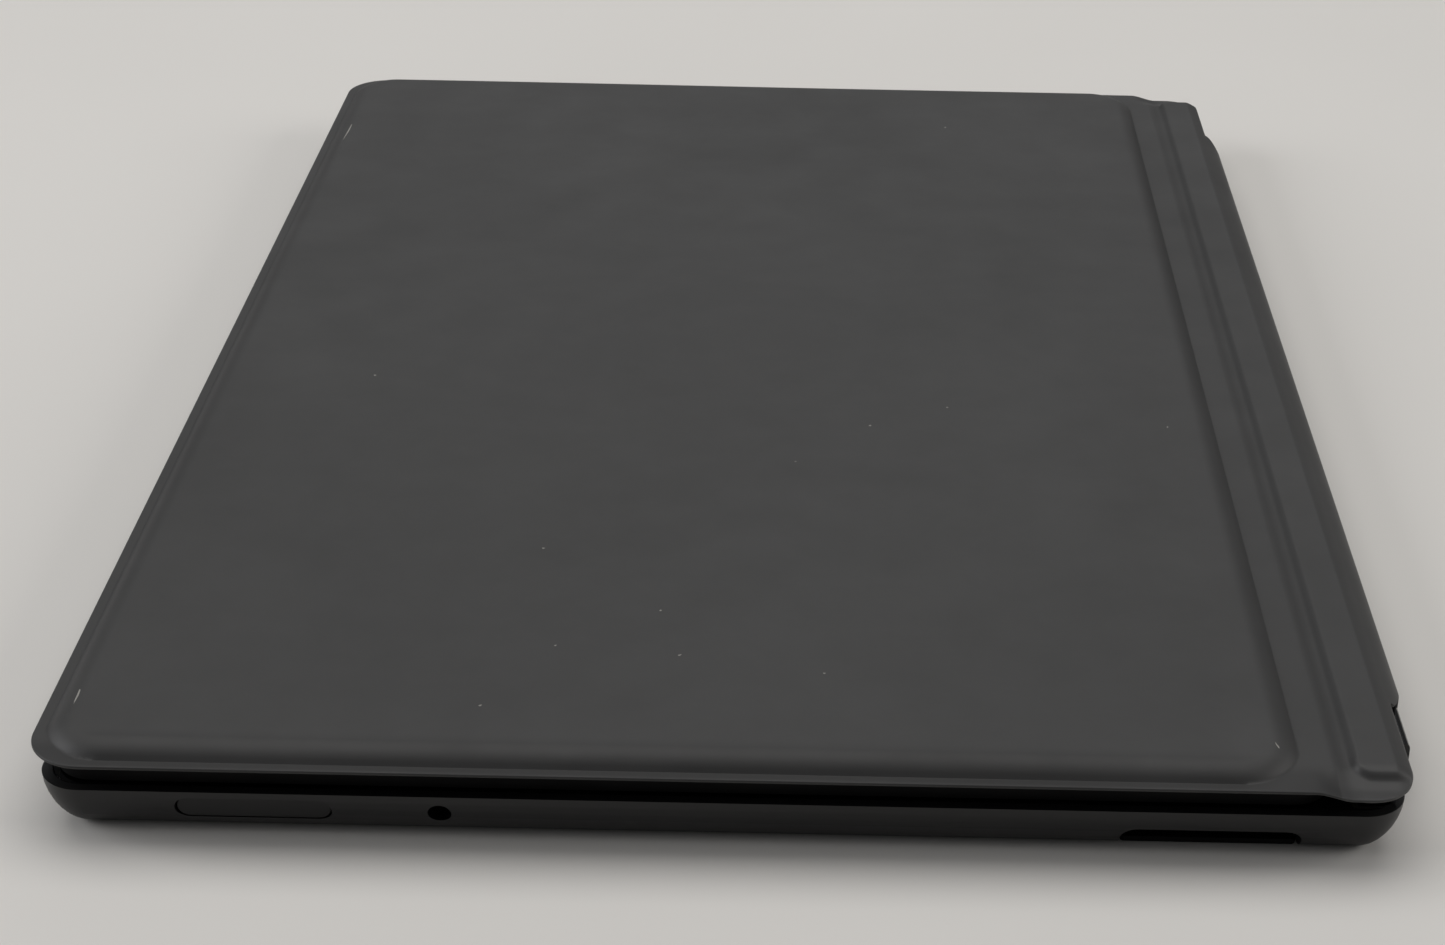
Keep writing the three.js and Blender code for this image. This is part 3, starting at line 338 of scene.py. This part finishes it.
def bar_and_groove(x, y):
    """The groove, fading before the flange's edge, and the bar beside it with its slope out to the fold."""
    groove = smooth((x - 89.3) / 2.2) * (1 - smooth((x - 91.7) / 1.9))
    groove = groove * smooth((LIP_Y - np.abs(y) - 2.0) / 5)
    width = 1.9 - 0.8 * smooth((np.abs(y) - 136) / 5)
    rise = np.clip(inside(x, y, BAR_X, 500, BAR_Y, BAR_CORNER) / width, 0, 1)
    fall = 1 - np.clip((x - RIDGE_X) / 2.6, 0, 1) ** 1.3
    lean = 0.55 * np.clip((x - RIDGE_X) / (WING_X - RIDGE_X), 0, 1) ** 1.5
    return BAR_RISE * smooth(rise) * fall - GROOVE_DEPTH * groove - lean


def cover_top(x, y):
    """Height of the whole skin: flange, raised pad, groove, bar and the sag at the hinge corners."""
    ripple = 0.05 * np.sin(x / 23 + 1) * np.sin(y / 31) - 0.05
    return FLANGE_TOP + pad_share(x, y) * (PAD_H + ripple) + bar_and_groove(x, y) - corner_dip(x, y)


def deck_under(x, y):
    """Underside of the same skin: a thin flange, stepping up round the foam and board."""
    step = smooth((inside(x, y, *PAD_X, PAD_Y, PAD_CORNER) - 1.9) / 1.2)
    thin = np.minimum(FLANGE_TOP - FLANGE_T, cover_top(x, y) - 0.5)
    return thin + (HOLLOW_TOP - FLANGE_TOP + FLANGE_T) * step


def rolled(top, low, edge, radius):
    """Brings the two faces of a sheet together in a half round over the last radius of its edge."""
    full = np.sqrt(1 - (1 - np.clip(edge / radius, 0, 1)) ** 2)
    middle, half = (top + low) / 2, (top - low) / 2 * full
    return middle + half, middle - half


EDGE_STEPS = np.array([0, 0.03, 0.11, 0.24, 0.42, 0.65])


def build_deck_skin():
    """The sheet from the free edge to the foot of the bar."""
    turn = np.radians(np.arange(0, 91, 6))
    corner = LIP_X + LIP_CORNER * (1 - np.cos(turn))
    lead = np.concatenate([LIP_X + EDGE_STEPS, corner, spread((LIP_X + 0.9, LIP_X + 12, 0.28))])
    lead = np.unique(np.round(lead, 3))
    lead = lead[np.concatenate([[True], np.diff(lead) > 0.02])]
    flat, shoulder, band = (LIP_X + 12, 74, 2.6), (80, 85.5, 0.25), (85.5, 89.4, 0.6)
    rest = spread(flat, (74, 80, 0.5), shoulder, band, (89.4, SEAM_X, 0.2))
    across = np.concatenate([lead, rest[1:]])
    into = LIP_CORNER - np.clip(across - LIP_X, 0, LIP_CORNER)
    half = LIP_Y - LIP_CORNER + np.sqrt(LIP_CORNER**2 - into**2)
    edge = np.concatenate([EDGE_STEPS, spread((0.9, 9.5, 0.28))])
    middle = np.linspace(-1, 1, 107)[1:-1]
    reach = half[:, None]
    y = np.hstack([edge - reach, middle * (reach - edge[-1]), (reach - edge)[:, ::-1]])
    x = np.repeat(across[:, None], y.shape[1], axis=1)
    top, low = rolled(
        cover_top(x, y), deck_under(x, y), inside(x, y, LIP_X, 500, LIP_Y, LIP_CORNER), FLANGE_T / 2
    )
    mask = np.ones((x.shape[0] - 1, x.shape[1] - 1), bool)
    obj = closed_sheet("deck_cover_skin", np.stack([x, y, top], 2), np.stack([x, y, low], 2), mask, SKIN)
    # Handling marks, plus painted shade in the groove and on the near shoulder.
    give_values(obj, "smudge_and_shade", smudges_and_shade)
    give_values(obj, "worn", lambda x, y, z: np.exp(-((z - 14.6) ** 2) / 0.35) * (z > 13.6))
    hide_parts("deck_skin", "groove_skin")
    return obj


SMUDGES = [  # x, y, reach, strength of the pale rubbed places
    (0.8, 70, 12, 0.4),
    (54, -65, 9, 0.4),
    (-84, -18, 8, 0.35),
    (-38, 6, 16, 0.18),
    (43, -15, 14, 0.22),
    (79, -139, 6, 0.7),
    (64, -143, 6, 0.4),
    (-60, -100, 22, -0.2),
    (10, 110, 25, -0.2),
]


def smudges_and_shade(x, y, z):
    """Soft round patches that fade with the square of their distance, and painted shade: a dark line along
    the groove's bottom and a darker near shoulder.
    """
    # Painted shade: the groove's bottom and the near shoulder, where little light reaches, are darkened in
    # colour.
    groove = np.exp(-(((x - 91.6) / 1.2) ** 2))
    shoulder = smooth((-y - 139.5) / 3.5) * (x < 90)
    total = -0.8 * groove - 1.3 * shoulder
    for at_x, at_y, reach, strength in SMUDGES:
        total += strength * np.exp(-((x - at_x) ** 2 + ((y - at_y) * 0.7) ** 2) / reach**2)
    return total


def fold_path():
    """Section of the skin from the wing's edge, round the fold and under the spine: outer points."""
    start_z = float(cover_top(np.array(WING_X), np.array(0.0)))
    ends = np.array([[WING_X, start_z], [102.9, start_z - 0.95], [FOLD_X, 11.0], [FOLD_X, 9.2]])
    t = np.linspace(0, 1, 15)[1:, None]
    curve = ends[0] * (1 - t) ** 3 + 3 * ends[1] * t * (1 - t) ** 2
    curve = curve + 3 * ends[2] * t**2 * (1 - t) + ends[3] * t**3
    turn = np.radians(np.arange(0, 91, 11.25))
    round_under = np.stack([102.25 + 2 * np.cos(turn), 3.6 - 2 * np.sin(turn)], 1)
    down = np.array([[FOLD_X, z] for z in (8.0, 6.5, 5.0)])
    tail = np.array([[x, 1.6] for x in (101.4, 100.5, 99.6)])
    return np.concatenate([curve, down, round_under, tail])


def build_strip_skin():
    """The sheet from the foot of the bar over the fold. Past the spine's ends it stops at the flange."""
    share = spread((0, 0.25, 0.02), (0.25, 0.62, 0.06), (0.62, 1, 0.03))
    ends = np.concatenate([EDGE_STEPS, spread((0.9, 10, 0.35)), [14, 18, 22]])
    inner = spread((-FOLD_TOP_Y, FOLD_TOP_Y, 4.6))
    near = ends - LIP_Y
    y = np.concatenate([near, [-FOLD_TOP_Y - 0.4], inner, [FOLD_TOP_Y + 0.4], -near[::-1]])
    path = fold_path()
    into = WING_CORNER - np.clip(LIP_Y - np.abs(y), 0, WING_CORNER)
    end_x = WING_X - WING_CORNER + np.sqrt(WING_CORNER**2 - into**2)
    x = SEAM_X + (end_x[None, :] - SEAM_X) * share[:, None]
    yy = np.repeat(y[None, :], len(share), axis=0)
    top = cover_top(x, yy)
    low = np.minimum(top - FOLD_T, FLANGE_TOP - FLANGE_T - corner_dip(x, yy))
    wing = np.abs(yy) > FOLD_TOP_Y + 0.1
    rim = np.where(wing, inside(x, yy, -500, WING_X, LIP_Y, WING_CORNER), 9)
    top, low = rolled(top, low, rim, FLANGE_T / 2)
    outer = np.stack([x, yy, top], 2)
    inner_face = np.stack([x, yy, low], 2)
    tangent = np.gradient(np.concatenate([[[x[-2, len(y) // 2], top[-2, len(y) // 2]]], path]), axis=0)[1:]
    tangent /= np.linalg.norm(tangent, axis=1)[:, None]
    inward = np.stack([tangent[:, 1], -tangent[:, 0]], 1)
    wrap = np.repeat(path[:, None, :], len(y), axis=1)
    wrap_in = wrap + FOLD_T * inward[:, None, :]
    reach = FOLD_Y + (FOLD_TOP_Y - FOLD_Y) * (1 - smooth(np.arange(len(path)) / 11))
    y_wrap = y[None, :] * (reach / FOLD_TOP_Y)[:, None]
    outer = np.concatenate([outer, np.stack([wrap[..., 0], y_wrap, wrap[..., 1]], 2)])
    inner_face = np.concatenate([inner_face, np.stack([wrap_in[..., 0], y_wrap, wrap_in[..., 1]], 2)])
    mask = np.ones((outer.shape[0] - 1, outer.shape[1] - 1), bool)
    covered = np.abs(y) <= FOLD_TOP_Y + 0.1
    mask[len(share) - 1 :, :] = (covered[:-1] & covered[1:])[None, :]
    obj = closed_sheet("strip_cover_skin", outer, inner_face, mask, SKIN)
    give_values(obj, "smudge_and_shade", lambda x, y, z: 0.1 * np.sin(y / 17) * np.sin(y / 41 + 1))
    give_values(obj, "worn", lambda x, y, z: np.exp(-((x - 99.6) ** 2) / 6) * (z > 11))
    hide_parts("strip_skin", "fold_skin")
    return obj


deck_skin = build_deck_skin()
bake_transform(deck_skin)
strip_skin = build_strip_skin()
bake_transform(strip_skin)

# ------------------------------------------------------------------ lint and scuffs on the pad

SPECKS = [  # x, y, half length, half width, turn in degrees
    (-32.2, -83.9, 0.35, 0.25, 10),
    (-11.6, -103.1, 0.3, 0.25, 70),
    (-7.8, -116.4, 0.45, 0.22, 30),
    (14.6, -120.8, 0.3, 0.2, 0),
    (22.0, -36.5, 0.4, 0.3, 50),
    (36.2, -28.5, 0.3, 0.25, 0),
    (76.0, -34.8, 0.4, 0.2, 80),
    (-70.2, -20.1, 0.35, 0.3, 20),
    (-36.7, -131.7, 0.4, 0.25, 40),
    (8.8, -51.1, 0.3, 0.2, 15),
    (40.2, 117.3, 0.4, 0.3, 60),
    (-27.2, -114.3, 0.3, 0.2, 35),
    (-97.0, -131.2, 0.22, 2.8, 1),
    (-96.6, 106.8, 0.22, 7.0, -2),
    (81.6, -138.0, 0.22, 1.9, 20),
]


def build_specks():
    """Each speck is a low dome of eight uneven points."""
    points, faces = [], []
    around = np.radians(np.arange(0, 360, 45))
    uneven = 1 + 0.25 * np.sin(around * 3 + 1)
    for x, y, half_x, half_y, turn in SPECKS:
        first = len(points)
        a = math.radians(turn)
        long, wide = half_x * np.cos(around) * uneven, half_y * np.sin(around) * uneven
        px = x + long * math.cos(a) - wide * math.sin(a)
        py = y + long * math.sin(a) + wide * math.cos(a)
        pz = cover_top(px, py)
        points += [(float(u), float(v), float(w) - 0.02) for u, v, w in zip(px, py, pz)]
        points.append((x, y, float(cover_top(np.array(x), np.array(y))) + 0.05))
        faces += [(first + k, first + (k + 1) % 8, first + 8) for k in range(8)]
        faces.append(tuple(first + k for k in range(7, -1, -1)))
    return put("lint_specks", points, faces, LINT)


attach(build_specks(), "deck")

# ------------------------------------------------------------------ bevelled copies of CAD nodes

BODY_OF = {n: b for b, names in frame["record"]["behaviour"]["bodies"].items() for n in names}


def softened(node, finish, width):
    """A copy of a CAD node with its edges rounded by width mm, in its place."""
    source = frame["nodes"][node]
    mesh = source.data.copy()
    mesh.transform(source.matrix_world)
    tidy_mesh(mesh, flat_angle=0.5)
    obj = bpy.data.objects.new(f"{node}_finished", mesh)
    bpy.context.scene.collection.objects.link(obj)
    mesh.materials.clear()
    mesh.materials.append(finish)
    bevel = obj.modifiers.new("rounded edges", "BEVEL")
    bevel.width = width * MM
    bevel.segments = 2
    bevel.limit_method = "ANGLE"
    bevel.angle_limit = math.radians(35)
    bevel.harden_normals = True
    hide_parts(node)
    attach(obj, BODY_OF[node])


softened("rear_housing", ALLOY, 0.25)
softened("volume_rocker", ALLOY, 0.25)
softened("power_button", ALLOY, 0.25)
softened("kickstand_plate", ALLOY, 0.15)
softened("front_glass", GLASS, 0.12)
softened("spine_bar", GLOSS, 0.3)
softened("key_frame", PLASTIC, 0.15)
softened("touchpad", GLOSS, 0.2)
for port in ("usb_port", "display_port"):
    softened(port, STEEL, 0.1)
for part in ("headset_jack", "charge_port", "edge_contact_block"):
    softened(part, PLASTIC, 0.1)

# ------------------------------------------------------------------ keys

ROWS = [  # node, depth, start in keys, key widths in keys
    ("key_row_function", FUNCTION_DEPTH, 0, [14.5 / 14] * 14),
    ("key_row_number", KEY_DEPTH, 0, [1] * 13 + [1.5]),
    ("key_row_upper", KEY_DEPTH, 0, [1.5] + [1] * 13),
    ("key_row_home", KEY_DEPTH, 0, [1.75] + [1] * 11 + [1.75]),
    ("key_row_lower", KEY_DEPTH, 0, [2.25] + [1] * 10 + [2.25]),
    ("key_row_bottom_left", KEY_DEPTH, 0, [1.25, 1, 1, 1.25]),
    ("space_bar", KEY_DEPTH, 4.5, [5]),
    ("key_row_bottom_right", KEY_DEPTH, 9.5, [1] * 5),
]
CAP_LEVELS = [  # height, how far the cap is drawn in there
    (KEY_BACK, 0.0),
    (9.85, 0.05),
    (9.65, 0.12),
    (9.55, 0.22),
    (KEY_FACE, 0.45),
    (9.52, 2.0),
    (9.6, 4.0),
]


def ring(x0, x1, y0, y1, corner, z, steps=4):
    """Points round a rectangle with rounded corners."""
    points = []
    for k, (cx, cy) in enumerate([(x1, y1), (x0, y1), (x0, y0), (x1, y0)]):
        sx, sy = (1 if cx == x1 else -1), (1 if cy == y1 else -1)
        for angle in np.radians(np.linspace(90 * k, 90 * k + 90, steps + 1)):
            points.append(
                (cx - sx * corner + corner * math.cos(angle), cy - sy * corner + corner * math.sin(angle), z)
            )
    return points


def block(x0, x1, y0, y1, levels, corner, first):
    """A stack of rings with both ends closed. first is the number of its first point."""
    points, faces, count = [], [], 20
    for z, inset in levels:
        level = ring(x0 + inset, x1 - inset, y0 + inset, y1 - inset, max(corner - inset, 0.05), z)
        points += level
    for k in range(len(levels) - 1):
        for i in range(count):
            a, b = first + k * count + i, first + k * count + (i + 1) % count
            faces.append((a, b, b + count, a + count))
    faces.append(tuple(first + i for i in range(count)))
    last = first + (len(levels) - 1) * count
    faces.append(tuple(last + i for i in range(count - 1, -1, -1)))
    return points, faces


def build_keys():
    """Dished caps row by row on a thin web, and the dark bars that show between the caps."""
    x1 = KEYS_START
    bar_points, bar_faces = [], []
    for node, depth, start_at, widths in ROWS:
        low, high = x1 - depth + KEY_GAP / 2, x1 - KEY_GAP / 2
        y = -KEYS_HALF_Y + start_at * KEY_W
        row_start, points, faces = y + KEY_GAP / 2, [], []
        for number, width in enumerate(widths):
            if number:
                sides = low - 0.3, high + 0.3, y - 0.6, y + 0.6
                bar = block(*sides, [(WELL, 0), (WELL + 0.1, 0)], 0.1, len(bar_points))
                bar_points += bar[0]
                bar_faces += bar[1]
            y0, y = y + KEY_GAP / 2, y + width * KEY_W
            cap = block(low, high, y0, y - KEY_GAP / 2, CAP_LEVELS, 1.3, len(points))
            points += cap[0]
            faces += cap[1]
        web = [(KEY_BACK - 0.22, 0.3), (KEY_BACK - 0.02, 0.3)]
        sheet = block(low, high, row_start, y - KEY_GAP / 2, web, 1.0, len(points))
        caps = put(f"{node}_caps", points + sheet[0], faces + sheet[1], KEY)
        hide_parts(node)
        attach(caps, node)
        if not node.startswith(("key_row_bottom_left", "space_bar")):
            x1 -= depth
    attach(put("key_lattice", bar_points, bar_faces, PLASTIC), "deck")


build_keys()

# ------------------------------------------------------------------ dark strip on the kickstand's finger tab, painted shade in the notch

NOTCH_SHADE_X = (58.95, 85.15)
NOTCH_SHADE_Y = (-141.6, -139.6)
NOTCH_SHADE_LEVELS = [(0.12, 0.3), (0.35, 0.05), (0.9, 0.0), (1.15, 0.12)]  # height, inset

# A dark plastic strip at the foot of the notch, put there as painted shade so the notch reads dark.
notch_shade = put("notch_shade_strip", *block(*NOTCH_SHADE_X, *NOTCH_SHADE_Y, NOTCH_SHADE_LEVELS, 0.7, 0), PLASTIC)
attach(notch_shade, "kickstand")

# ------------------------------------------------------------------ finishes of the other CAD nodes

NODE_FINISHES = {
    "display_panel": PLASTIC,
    "mid_frame": STEEL,
    "battery_left": FOIL,
    "battery_right": FOIL,
    "main_board": BOARD,
    "heat_spreader": COPPER,
    "speaker_left": PLASTIC,
    "speaker_right": PLASTIC,
    "front_camera": PLASTIC,
    "rear_camera": PLASTIC,
    "camera_window": GLASS,
    "edge_magnet_left": STEEL,
    "edge_magnet_right": STEEL,
    "volume_switch": BOARD,
    "power_switch": BOARD,
    "hinge_bracket_left": STEEL,
    "hinge_bracket_right": STEEL,
    "hinge_pin_left": STEEL,
    "hinge_pin_right": STEEL,
    "contact_block": GOLD,
    "guide_pin_left": STEEL,
    "guide_pin_right": STEEL,
    "spine_magnet_left": STEEL,
    "spine_magnet_right": STEEL,
    "strip_stiffener": LAMINATE,
    "strip_magnet_left": STEEL,
    "strip_magnet_right": STEEL,
    "strip_lining": LINING,
    "stiffener_board": LAMINATE,
    "foam_sheet": FOAM,
    "key_circuit_sheet": LAMINATE,
    "backlight_sheet": FILM,
    "controller_board": BOARD,
    "palm_lining": LINING,
}
for node, finish in NODE_FINISHES.items():
    mesh = frame["nodes"][node].data
    mesh.materials.clear()
    mesh.materials.append(finish)

# ------------------------------------------------------------------ floor, light and camera

bpy.ops.mesh.primitive_plane_add(size=6, location=(0, 0, 0))
floor = bpy.context.object
floor.name = "table_top"
floor.data.materials.append(pale_floor())


def soft_box(name, place, target, size, power, tint="#ffffff"):
    """A square area light of that size in metres, turned towards its target."""
    data = bpy.data.lights.new(name, "AREA")
    data.shape = "RECTANGLE"
    data.size, data.size_y = size
    data.energy = power
    data.color = linear(tint)[:3]
    obj = bpy.data.objects.new(name, data)
    bpy.context.scene.collection.objects.link(obj)
    back = np.array(place, float) - np.array(target, float)
    back /= np.linalg.norm(back)
    side = np.cross([0, 1, 0] if abs(back[2]) > 0.9 else [0, 0, 1], back)
    side /= np.linalg.norm(side)
    turn = Matrix([list(v) for v in zip(side, np.cross(back, side), back)]).to_4x4()
    obj.matrix_world = Matrix.Translation(place) @ turn


soft_box("overhead_softbox", (-0.1, 0.45, 1.6), (0, 0.05, 0), (2.2, 1.4), 15, "#fffdfb")
soft_box("left_softbox", (-1.7, -0.1, 0.85), (0, 0, 0), (1.2, 0.9), 12, "#fdfdff")
soft_box("right_softbox", (1.7, -0.1, 0.85), (0, 0, 0), (1.2, 0.9), 9, "#fffcf9")
soft_box("back_softbox", (0, 1.9, 0.8), (0, 0, 0), (1.6, 0.8), 2, "#ffffff")

world = bpy.data.worlds.new("room")
bpy.context.scene.world = world
world.use_nodes = True
world.node_tree.nodes["Background"].inputs["Color"].default_value = linear("#f4f5f7")
world.node_tree.nodes["Background"].inputs["Strength"].default_value = 0.13

camera_data = bpy.data.cameras.new("camera")
camera_data.lens = 66.36
camera_data.sensor_width = 36
camera_data.shift_x = -0.0718
camera = bpy.data.objects.new("camera", camera_data)
bpy.context.scene.collection.objects.link(camera)
RIGHT = np.array([0.99978373, 0.00972697, 0.01838144])
UP = np.array([-0.02079642, 0.46762203, 0.88368385])
BACK = np.cross(RIGHT, UP)
camera.matrix_world = Matrix.Translation((0.013102, -0.466548, 0.233173)) @ Matrix(
    [list(v) for v in zip(RIGHT, UP, BACK)]
).to_4x4()
bpy.context.scene.camera = camera
bpy.context.scene.view_settings.view_transform = "Standard"
